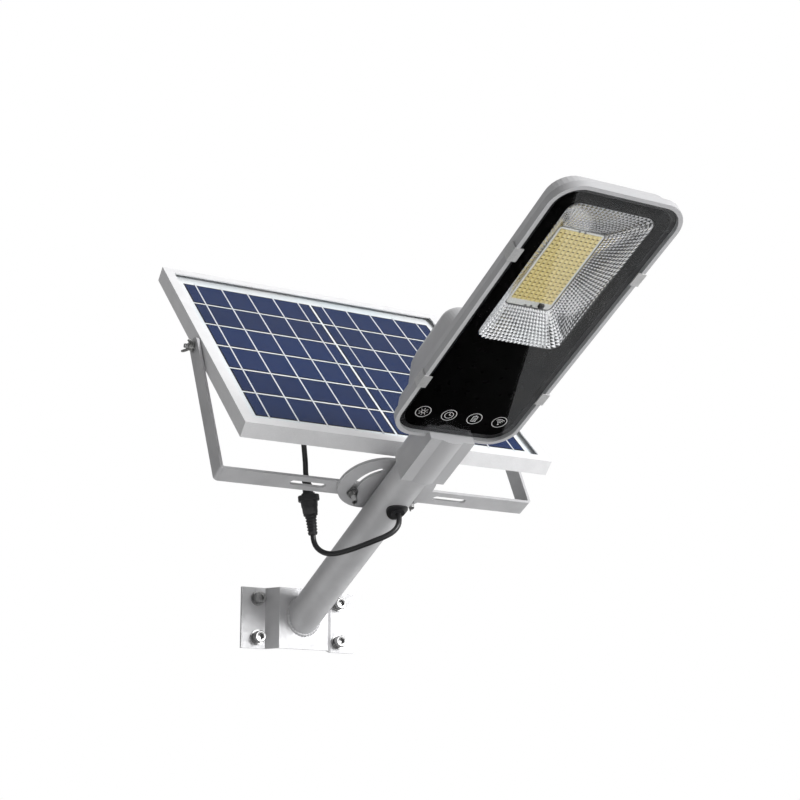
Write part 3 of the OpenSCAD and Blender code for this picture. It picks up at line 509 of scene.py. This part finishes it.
LEAD_D = 0.0055
CONNECTOR_TOP = Vector((-0.071, -0.165, 0.121))
CONNECTOR_BOTTOM = Vector((-0.063, -0.165, 0.062))


def smooth_path(points, count):
    """Evenly spaced points on a Catmull-Rom curve through the given ones."""
    ends = [2 * points[0] - points[1]] + list(points) + [2 * points[-1] - points[-2]]
    dense = []
    for i in range(1, len(ends) - 2):
        p0, p1, p2, p3 = ends[i - 1:i + 3]
        for k in range(24):
            t = k / 24
            dense.append(0.5 * (2 * p1 + (p2 - p0) * t + (2 * p0 - 5 * p1 + 4 * p2 - p3) * t * t
                                + (3 * p1 - p0 - 3 * p2 + p3) * t ** 3))
    dense.append(points[-1])
    lengths = [0]
    for a, b in zip(dense, dense[1:]):
        lengths.append(lengths[-1] + (b - a).length)
    out = []
    for i in range(count):
        want = lengths[-1] * i / (count - 1)
        k = max(j for j in range(len(lengths)) if lengths[j] <= want + 1e-12)
        if k >= len(dense) - 1:
            out.append(dense[-1].copy())
        else:
            part = (want - lengths[k]) / max(lengths[k + 1] - lengths[k], 1e-9)
            out.append(dense[k].lerp(dense[k + 1], part))
    return out, lengths[-1]


def tube(name, points, radius, sides=20):
    bm = bmesh.new()
    normal = X.copy()
    rings = []
    for i, p in enumerate(points):
        along = (points[min(i + 1, len(points) - 1)] - points[max(i - 1, 0)]).normalized()
        normal = (normal - normal.dot(along) * along).normalized()
        other = along.cross(normal)
        rings.append([bm.verts.new(p + (normal * math.cos(a) + other * math.sin(a)) * radius)
                      for a in (2 * math.pi * k / sides for k in range(sides))])
    grid_faces(bm, rings)
    bm.faces.new(rings[0])
    bm.faces.new(rings[-1])
    return mesh_object(name, bm, angle=60)


def make_leads():
    mm = 0.001
    air, run = 0.1 * mm, 5 * mm
    down = (CONNECTOR_BOTTOM - CONNECTOR_TOP).normalized()
    gland = NODES["junction_gland"].data.vertices
    lowest = min(v.co.dot(V) for v in gland)
    rim = [v.co for v in gland if v.co.dot(V) < lowest + 0.2 * mm]
    gland_tip = sum(rim, Vector()) / len(rim)
    panel_route = [gland_tip - V * air, gland_tip - V * run] + [Vector(p) * mm for p in (
        (-72, -129, 242), (-72, -139, 230), (-73, -149, 217), (-74, -158, 200), (-75, -164, 183),
        (-76, -167, 165), (-75, -168, 150), (-73, -167, 135))] + [
        CONNECTOR_TOP - down * run, CONNECTOR_TOP - down * air]
    low_s, high_s = extent("cable_grommet", S)
    grommet_tip = arm(0, (low_s + high_s) / 2, extent("cable_grommet", N)[0])
    lamp_route = [CONNECTOR_BOTTOM + down * air, CONNECTOR_BOTTOM + down * run] + [Vector(p) * mm for p in (
        (-61, -166.5, 51.5), (-58.5, -170, 46.5), (-54.5, -176, 42.5), (-49, -184, 41), (-43, -193.5, 42),
        (-37, -203.5, 44), (-31, -213.5, 46.5), (-24.5, -223, 49.5), (-17, -229.5, 53), (-9, -232.5, 58),
        (-3, -232.5, 65))] + [grommet_tip - N * run, grommet_tip - N * air]
    pieces = connector_pieces()
    points, length = smooth_path(panel_route, 36)
    lead = wear(tube("panel_lead_cord", points, LEAD_D / 2), RUBBER)
    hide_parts("panel_lead")
    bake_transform(lead)
    points, length = smooth_path(lamp_route, 36)
    lead = wear(tube("lamp_lead_cord", points, LEAD_D / 2), RUBBER)
    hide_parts("lamp_lead")
    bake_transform(lead)


def connector_pieces():
    """Two-part round connector: boot, flanged collar, stepped sleeve and ribbed strain relief."""
    axis = CONNECTOR_BOTTOM - CONNECTOR_TOP
    total = axis.length
    mm = 0.001
    bm = bmesh.new()
    lathe(bm, CONNECTOR_TOP, axis, [(h * mm, r * mm) for h, r in (
        (0, 0), (0, 3.4), (1.2, 3.9), (3, 4.1), (3.4, 4.8), (5.5, 4.9), (6, 4.3), (7.5, 4.4), (8, 5.0),
        (10.3, 5.1),
        (10.8, 4.5), (12.3, 4.6), (12.8, 5.2), (16, 5.4), (17, 5.5), (17, 6.8), (19, 7.0), (19, 0))])
    socket = wear(mesh_object("connector_socket", bm), BLACK)
    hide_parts("socket_half")
    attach(socket, "bracket")
    bm = bmesh.new()
    lathe(bm, CONNECTOR_TOP, axis, [(h * mm, r * mm) for h, r in (
        (19.05, 6.8), (19.05, 10.4), (19.5, 10.9), (24.4, 11), (25, 10.5), (25.2, 8.7), (31, 8.3),
        (31.4, 7.9),
        (37, 7.6), (37.4, 7.3), (39.6, 7.2), (40, 6.8), (40, 5.6), (20.6, 5.5), (20.6, 6.8),
        (19.05, 6.8))], sides=64)
    ring = mesh_object("connector_ring", bm)
    grip(ring, CONNECTOR_TOP, axis.normalized(), 0.0195, 0.0245, 0.0098, 0.0006, 28)
    wear(ring, BLACK)
    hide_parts("plug_ring")
    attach(ring, "bracket")
    end = total / mm
    ribs = []
    h = 42.5
    r = 5.7
    while h < end - 3:
        ribs += [(h, r), (h + 0.4, r - 0.75), (h + 1.5, r - 0.8), (h + 1.9, r - 0.05)]
        h += 3.1
        r -= 0.17
    bm = bmesh.new()
    base = [(20.8, 0), (20.8, 5.3), (40, 5.35), (40, 5.7), (42, 5.8)]
    tip = [(end - 1, r - 0.2), (end, r - 0.7), (end, 0)]
    lathe(bm, CONNECTOR_TOP, axis, [(a * mm, b * mm) for a, b in base + ribs + tip])
    plug = wear(mesh_object("connector_plug", bm), BLACK)
    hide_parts("plug_half")
    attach(plug, "bracket")
    return [socket, ring, plug]


def grip(obj, origin, axis, low, high, beyond, depth, count):
    """Presses shallow finger flutes into a turned piece between two heights."""
    u, w = side_axes(axis)
    for v in obj.data.vertices:
        rel = v.co - origin
        h = rel.dot(axis)
        flat = rel - h * axis
        if low - 1e-5 <= h <= high + 1e-5 and flat.length > beyond:
            a = math.atan2(flat.dot(w), flat.dot(u))
            v.co -= flat.normalized() * depth * (0.5 + 0.5 * math.cos(count * a))


make_leads()


# ---------------------------------------------------------------- lamp optics

def make_reflector():
    """Mirror bowl of small pillow facets between the light window and the LED board."""
    x = extent("reflector", X)[1]
    s0, s1 = extent("reflector", S)
    n0, n1 = extent("reflector", N)
    bx = extent("led_board", X)[1] + 0.001
    b0, b1 = extent("led_board", S)
    b0, b1 = b0 - 0.001, b1 + 0.001
    across, along, corner, rows = 15, 30, 4, 11

    def outline(half, low, high, r):
        pts = []
        for cx, cs, start in ((half - r, high - r, 0), (-half + r, high - r, 90),
                              (-half + r, low + r, 180), (half - r, low + r, 270)):
            for i in range(corner):
                t = math.radians(start + 90 * i / corner)
                pts.append((cx + r * math.cos(t), cs + r * math.sin(t)))
            t = math.radians(start + 90)
            end = (cx + r * math.cos(t), cs + r * math.sin(t))
            sides = {0: (-(2 * half - 2 * r), 0, across), 90: (0, -(high - low - 2 * r), along),
                     180: (2 * half - 2 * r, 0, across), 270: (0, high - low - 2 * r, along)}
            dx, ds, count = sides[start]
            pts += [(end[0] + dx * i / count, end[1] + ds * i / count) for i in range(count)]
        return pts

    outer = outline(x, s0, s1, 0.012)
    inner = outline(bx, b0, b1, 0.004)
    bm = bmesh.new()
    rings = []
    for i in range(rows + 1):
        v = i / rows
        depth = n0 + (n1 - n0) * (v ** 1.15)
        rings.append([bm.verts.new(arm(a[0] + (c[0] - a[0]) * v, a[1] + (c[1] - a[1]) * v, depth))
                      for a, c in zip(outer, inner)])
    middle = arm(0, (b0 + b1) / 2, n0)
    for a, b in zip(rings, rings[1:]):
        for k in range(len(a)):
            j = (k + 1) % len(a)
            quad = [a[k], a[j], b[j], b[k]]
            centre = sum((q.co for q in quad), Vector()) / 4
            face = (quad[1].co - quad[0].co).cross(quad[3].co - quad[0].co)
            if face.length < 1e-12:
                continue
            face.normalize()
            if face.dot(middle - centre) < 0:
                face = -face
            size = min((quad[1].co - quad[0].co).length, (quad[3].co - quad[0].co).length)
            top = bm.verts.new(centre + face * size * 0.16)
            for p, q in zip(quad, quad[1:] + quad[:1]):
                bm.faces.new([p, q, top])
    bowl = wear(mesh_object("reflector_facets", bm, smooth=False), SILVER)
    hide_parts("reflector")
    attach(bowl, "arm")


def make_board_parts():
    """Small dark resistors in the gaps between the LEDs."""
    x0, x1 = extent("led_chips", X)
    s0, s1 = extent("led_chips", S)
    n1 = extent("led_chips", N)[1]
    size = 0.0032
    cols, rows = 9, 19
    dx = (x1 - x0 - size) / (cols - 1)
    ds = (s1 - s0 - size) / (rows - 1)
    bm = bmesh.new()
    for i in range(cols):
        for j in range(rows - 1):
            cx = x0 + size / 2 + dx * i
            cs = s0 + size / 2 + ds * (j + 0.5)
            outline = rounded_outline(cx - 0.0009, cx + 0.0009, cs - 0.00032, cs + 0.00032, 0.00015, 2)
            slab(bm, outline, arm, n1 - 0.00045, n1)
    dashes = wear(mesh_object("board_resistors", bm), DASH)
    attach(dashes, "arm")


def make_icons():
    """Four plain ring symbols printed behind the glass: sun, clock, battery and waves."""
    s0 = extent("front_glass", S)[0]
    n = extent("glass_mask", N)[0] - 0.00006
    mm = 0.001
    bm = bmesh.new()

    def ring(cx, cs, r_out, r_in, a0=0, a1=360, steps=40):
        outer, inner = [], []
        for i in range(steps + 1):
            t = math.radians(a0 + (a1 - a0) * i / steps)
            outer.append(bm.verts.new(arm(cx + r_out * math.cos(t), cs + r_out * math.sin(t), n)))
            inner.append(bm.verts.new(arm(cx + r_in * math.cos(t), cs + r_in * math.sin(t), n)))
        for i in range(steps):
            bm.faces.new([outer[i], outer[i + 1], inner[i + 1], inner[i]])

    def bar(ax, as_, bx, bs, width):
        d = Vector((bx - ax, bs - as_)).normalized() * width / 2
        side = Vector((-d.y, d.x))
        bm.faces.new([bm.verts.new(arm(p[0], p[1], n)) for p in (
            (ax + side.x, as_ + side.y), (bx + side.x, bs + side.y), (bx - side.x, bs - side.y),
            (ax - side.x, as_ - side.y))])

    cs = s0 + 25.5 * mm
    for i, cx in enumerate((-41 * mm, -13 * mm, 15 * mm, 43 * mm)):
        ring(cx, cs, 7.8 * mm, 7.2 * mm)
        if i == 0:
            ring(cx, cs, 2.2 * mm, 1.6 * mm)
            for k in range(8):
                a = math.radians(45 * k)
                bar(cx + 3.1 * mm * math.cos(a), cs + 3.1 * mm * math.sin(a), cx + 4.9 * mm * math.cos(a),
                    cs + 4.9 * mm * math.sin(a), 0.6 * mm)
        elif i == 1:
            ring(cx, cs, 4.6 * mm, 4.0 * mm)
            bar(cx, cs, cx, cs + 3.2 * mm, 0.6 * mm)
            bar(cx, cs, cx + 2.3 * mm, cs, 0.6 * mm)
        elif i == 2:
            for a, b in (((-2.4, -4), (2.4, -4)), ((2.4, -4), (2.4, 3.4)), ((2.4, 3.4), (-2.4, 3.4)),
                         ((-2.4, 3.4), (-2.4, -4)), ((-1, 4.4), (1, 4.4)), ((-1.4, -2.4), (1.4, -2.4)),
                         ((-1.4, -0.6), (1.4, -0.6)), ((-1.4, 1.2), (1.4, 1.2))):
                bar(cx + a[0] * mm, cs + a[1] * mm, cx + b[0] * mm, cs + b[1] * mm, 0.6 * mm)
        else:
            ring(cx, cs - 3 * mm, 0.9 * mm, 0.1 * mm)
            for r in (3, 5, 7):
                ring(cx, cs - 3 * mm, (r + 0.3) * mm, (r - 0.3) * mm, 50, 130, 14)
    icons = wear(mesh_object("ring_icons", bm, smooth=False), PAINT)
    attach(icons, "arm")


make_reflector()
make_board_parts()
make_icons()


# ---------------------------------------------------------------- fasteners

def hex_head(bm, origin, axis, width, height):
    """Chamfered hexagon head on an axis, standing on origin."""
    r = width / 2
    lathe(bm, origin, axis, [(0, 0), (0, r * 0.9), (height * 0.06, r * 0.94), (height * 0.1, r),
                             (height * 0.82, r), (height, r * 0.86), (height, 0)], sides=72, facets=(3, 4, 6))


def make_wall_bolts():
    dims = MOUNTS["wall_fixing"]["dims"]
    mm = 0.001
    r = dims["stud_r_mm"]
    low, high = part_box("wall_bolts")
    seat = -extent("wall_washers", Vector((0, 1, 0)))[0]
    top = -low.y
    bm = bmesh.new()
    for sx in (-1, 1):
        for sz in (-1, 1):
            foot = Vector((sx * dims["spacing_x_mm"] / 2 * mm, 0, sz * dims["spacing_y_mm"] / 2 * mm))
            out = Vector((0, -1, 0))
            thread(bm, foot - out * 0.001, -out, r * mm, high.y - 0.001, 1.25 * mm)
            head = r * 1.6 * mm
            lathe(bm, foot, out, [(-0.0011, 0), (-0.0011, (r - 0.25) * mm), (seat, (r - 0.25) * mm),
                                  (seat, head * 0.96), (seat + 0.0003, head), (top - 0.0012, head),
                                  (top - 0.0006, head * 0.97), (top, head * 0.86), (top, head * 0.62),
                                  (top - 0.0003, r * 0.87 * mm), (top - r * mm, r * 0.87 * mm),
                                  (top - r * 1.1 * mm, 0)], sides=72, facets=(9, 10, 6))
    bolts = wear(mesh_object("wall_cap_bolts", bm, angle=28), ZINC)
    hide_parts("wall_bolts")
    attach(bolts, "arm")


def make_swivel_bolts():
    low, high = extent("swivel_bolts", N)
    head_h = 0.004
    bm = bmesh.new()
    for side in ("left", "right"):
        at = Vector(JOINTS[f"swivel_nut_turn_{side}"]["pos_m"])
        top = at + N * (high - at.dot(N) - head_h)
        hex_head(bm, top, N, 0.01, head_h)
        thread(bm, top, -N, 0.003, high - head_h - low, 0.001)
    bolts = wear(mesh_object("swivel_hex_bolts", bm, angle=28), ZINC)
    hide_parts("swivel_bolts")
    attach(bolts, "bracket")


def make_tilt_bolts():
    reach = extent("tilt_bolts", X)[1]
    inner = min(abs(v.co.x) for v in NODES["tilt_bolts"].data.vertices)
    bm = bmesh.new()
    for side in (-1, 1):
        start = Vector((side * inner, HINGE.y, HINGE.z))
        out = X * side
        r = (extent("tilt_bolts", Z)[1] - extent("tilt_bolts", Z)[0]) / 2
        lathe(bm, start, out, [(0, 0), (0, r * 0.9), (0.0004, r), (0.0037, r), (0.004, r * 0.97), (0.004, 0)])
        thread(bm, start + out * 0.004, out, 0.0025, reach - inner - 0.004, 0.0008)
    bolts = wear(mesh_object("tilt_round_bolts", bm, angle=28), ZINC)
    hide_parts("tilt_bolts")
    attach(bolts, "panel")


def wing_nut(name, node, body, seat, axis, turn, bore):
    """Cast wing nut: round hub with a collar and two swept, thinning wings."""
    mm = 0.001
    u, w = side_axes(axis)
    c, s = math.cos(turn), math.sin(turn)
    u, w = u * c + w * s, w * c - u * s
    bm = bmesh.new()
    lathe(bm, seat, axis, [(0, bore), (0, 4.6 * mm), (0.5 * mm, 5 * mm), (1.6 * mm, 4.95 * mm),
                           (2.2 * mm, 4.5 * mm), (4.2 * mm, 4.1 * mm), (5 * mm, 3.7 * mm), (5 * mm, bore),
                           (0, bore)])
    hub = mesh_object(name + "_hub", bm)
    bm = bmesh.new()
    for side in (-1, 1):
        outline = [(2.9, 0.9), (5, 1.1), (7, 2.6), (9.2, 4.4), (10.6, 6.2), (10.9, 7.8), (10, 8.9),
                   (8.6, 8.8), (7.4, 7.4), (5.8, 5.6), (4.2, 4.7), (2.9, 4.3)]
        thick = [1.1, 1.1, 1.0, 0.9, 0.8, 0.7, 0.7, 0.75, 0.85, 0.95, 1.05, 1.1]
        layers = []
        for way in (-1, 1):
            layers.append([bm.verts.new(seat + (u * side * a + axis * h + w * way * t) * mm)
                           for (a, h), t in zip(outline, thick)])
        grid_faces(bm, layers)
        bm.faces.new(layers[0])
        bm.faces.new(layers[1])
    wings = mesh_object(name, bm)
    bevel(wings, 0.00045, 3, 50)
    join(wings, hub)
    wear(wings, NUT)
    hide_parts(node)
    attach(wings, body)


def join(target, *others):
    """Adds other meshes to target and removes their objects."""
    bm = bmesh.new()
    bm.from_mesh(target.data)
    for other in others:
        bm.from_mesh(other.data)
        bpy.data.objects.remove(other)
    bm.to_mesh(target.data)
    bm.free()
    target.data.set_sharp_from_angle(angle=math.radians(40))


def make_wing_nuts():
    for side, sign in (("left", -1), ("right", 1)):
        joint = JOINTS[f"swivel_nut_turn_{side}"]
        at = Vector(joint["pos_m"])
        node = f"swivel_wing_nut_{side}"
        top = extent(node, N)[1]
        wing_nut(f"swivel_nut_{side}_cast", node, f"swivel_nut_{side}", at + N * (top - at.dot(N)), -N,
                 math.radians(25), 0.00305)
        node = f"tilt_wing_nut_{side}"
        seat = min(abs(v.co.x) for v in NODES[node].data.vertices)
        wing_nut(f"tilt_nut_{side}_cast", node, f"tilt_nut_{side}",
                 Vector((sign * seat, HINGE.y, HINGE.z)), X * sign, math.radians(20), 0.00255)


def make_weld():
    """Rippled bead round the tube where it meets the hat's front face."""
    face = extent("wall_plate", Vector((0, 1, 0)))[0]
    r = extent("arm_tube", X)[1]
    steps, sides = 150, 10
    foot = SWIVEL - N * (SWIVEL.dot(N) - sum(extent("arm_tube", N)) / 2)
    bm = bmesh.new()
    rings = []
    for i in range(steps):
        a = 2 * math.pi * i / steps
        out = X * math.cos(a) + N * math.sin(a)
        p = foot + out * r
        p = p + S * ((face - p.y) / S.y)
        size = 0.0019 * (1 + 0.16 * math.cos(a * 34) + 0.1 * noise.noise(p * 300))
        up = Vector((0, -1, 0))
        flat = (out - up * out.dot(up)).normalized()
        centre = p + up * 0.0002 + flat * 0.0002
        rings.append([bm.verts.new(centre + (flat * math.cos(t) + up * math.sin(t)) * size)
                      for t in (2 * math.pi * k / sides for k in range(sides))])
    grid_faces(bm, rings, close_v=True)
    bead = wear(mesh_object("arm_weld_bead", bm, angle=70), GREY_STEEL)
    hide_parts("arm_weld")
    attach(bead, "arm")


make_wall_bolts()
make_swivel_bolts()
make_tilt_bolts()
make_wing_nuts()
make_weld()


# ---------------------------------------------------------------- stage and light

def area(name, place, aim, size, power, glossy=True):
    data = bpy.data.lights.new(name, "AREA")
    data.shape = "SQUARE"
    data.size = size
    data.energy = power
    obj = bpy.data.objects.new(name, data)
    bpy.context.collection.objects.link(obj)
    obj.location = place
    obj.rotation_euler = (Vector(aim) - Vector(place)).to_track_quat("-Z", "Y").to_euler()
    obj.visible_glossy = glossy
    return obj


def studio_world():
    """White to the camera; for the object a soft grey room that is brighter up and to the right."""
    world = bpy.data.worlds.new("studio")
    bpy.context.scene.world = world
    world.use_nodes = True
    tree = world.node_tree
    back = tree.nodes["Background"]
    coords = tree.nodes.new("ShaderNodeTexCoord")
    towards = tree.nodes.new("ShaderNodeVectorMath")
    towards.operation = "DOT_PRODUCT"
    towards.inputs[1].default_value = (0.62, 0.3, 0.72)
    tree.links.new(coords.outputs["Generated"], towards.inputs[0])
    fade = tree.nodes.new("ShaderNodeMapRange")
    fade.interpolation_type = "SMOOTHSTEP"
    for key, value in (("From Min", 0.1), ("From Max", 1.0), ("To Min", 0.24), ("To Max", 0.7)):
        fade.inputs[key].default_value = value
    tree.links.new(towards.outputs["Value"], fade.inputs["Value"])
    path = tree.nodes.new("ShaderNodeLightPath")
    pick = tree.nodes.new("ShaderNodeMix")
    tree.links.new(path.outputs["Is Camera Ray"], pick.inputs[0])
    tree.links.new(fade.outputs["Result"], pick.inputs[2])
    pick.inputs[3].default_value = 1.0
    back.inputs["Color"].default_value = (1, 1, 1, 1)
    tree.links.new(pick.outputs[0], back.inputs["Strength"])


def card(name, corners, strength):
    """Flat card, glowing at the given strength, that only mirrors see: a painted reflection that lights
    nothing.
    """
    bm = bmesh.new()
    bm.faces.new([bm.verts.new(c) for c in corners])
    obj = mesh_object(name, bm, smooth=False)
    mat = bpy.data.materials.new(name)
    mat.use_nodes = True
    tree = mat.node_tree
    glow = tree.nodes.new("ShaderNodeEmission")
    glow.inputs["Color"].default_value = (strength, strength, strength, 1)
    tree.links.new(glow.outputs[0], tree.nodes["Material Output"].inputs["Surface"])
    obj.data.materials.append(mat)
    # Camera, diffuse, shadow and transmission rays skip the card, so it shows only as a painted reflection
    obj.visible_camera = False
    obj.visible_diffuse = False
    obj.visible_shadow = False
    obj.visible_transmission = False


def make_stage():
    studio_world()
    bm = bmesh.new()
    bmesh.ops.create_grid(bm, x_segments=8, y_segments=8, size=6)
    floor = mesh_object("floor", bm)
    floor.location = (0, 0, -0.9)
    wear(floor, coated("floor", (0.9, 0.9, 0.9), (0.87, 0.87, 0.87), (0.6, 0.7), grain=40))
    # Two cards side by side under the lamp, seen only in mirrors: a painted reflection, dark on the left and
    # grey on the right; the front glass mirrors the edge where they meet
    low = -0.5
    near, far = -0.75, 0.36
    left, right = -0.4, 1.2
    meet_near, meet_far = 0.449, 0.52
    seam_near, seam_far = (meet_near, near, low), (meet_far, far, low)
    card("painted_reflection_dark", [(left, near, low), seam_near, seam_far, (left, far, low)], 0.0)
    card("painted_reflection_grey", [seam_near, (right, near, low), (right, far, low), seam_far], 0.55)
    middle = Vector((0, -0.25, 0.17))
    key_from, top_from = Vector((0.45, -0.85, 0.3)), Vector((0.2, 0.2, 1.0))
    area("key", middle + key_from.normalized() * 2.5, middle, size=0.9, power=66)
    area("top", middle + top_from.normalized() * 2.8, middle, size=2.6, power=45, glossy=False)
    bpy.context.scene.view_settings.view_transform = "Standard"


make_stage()
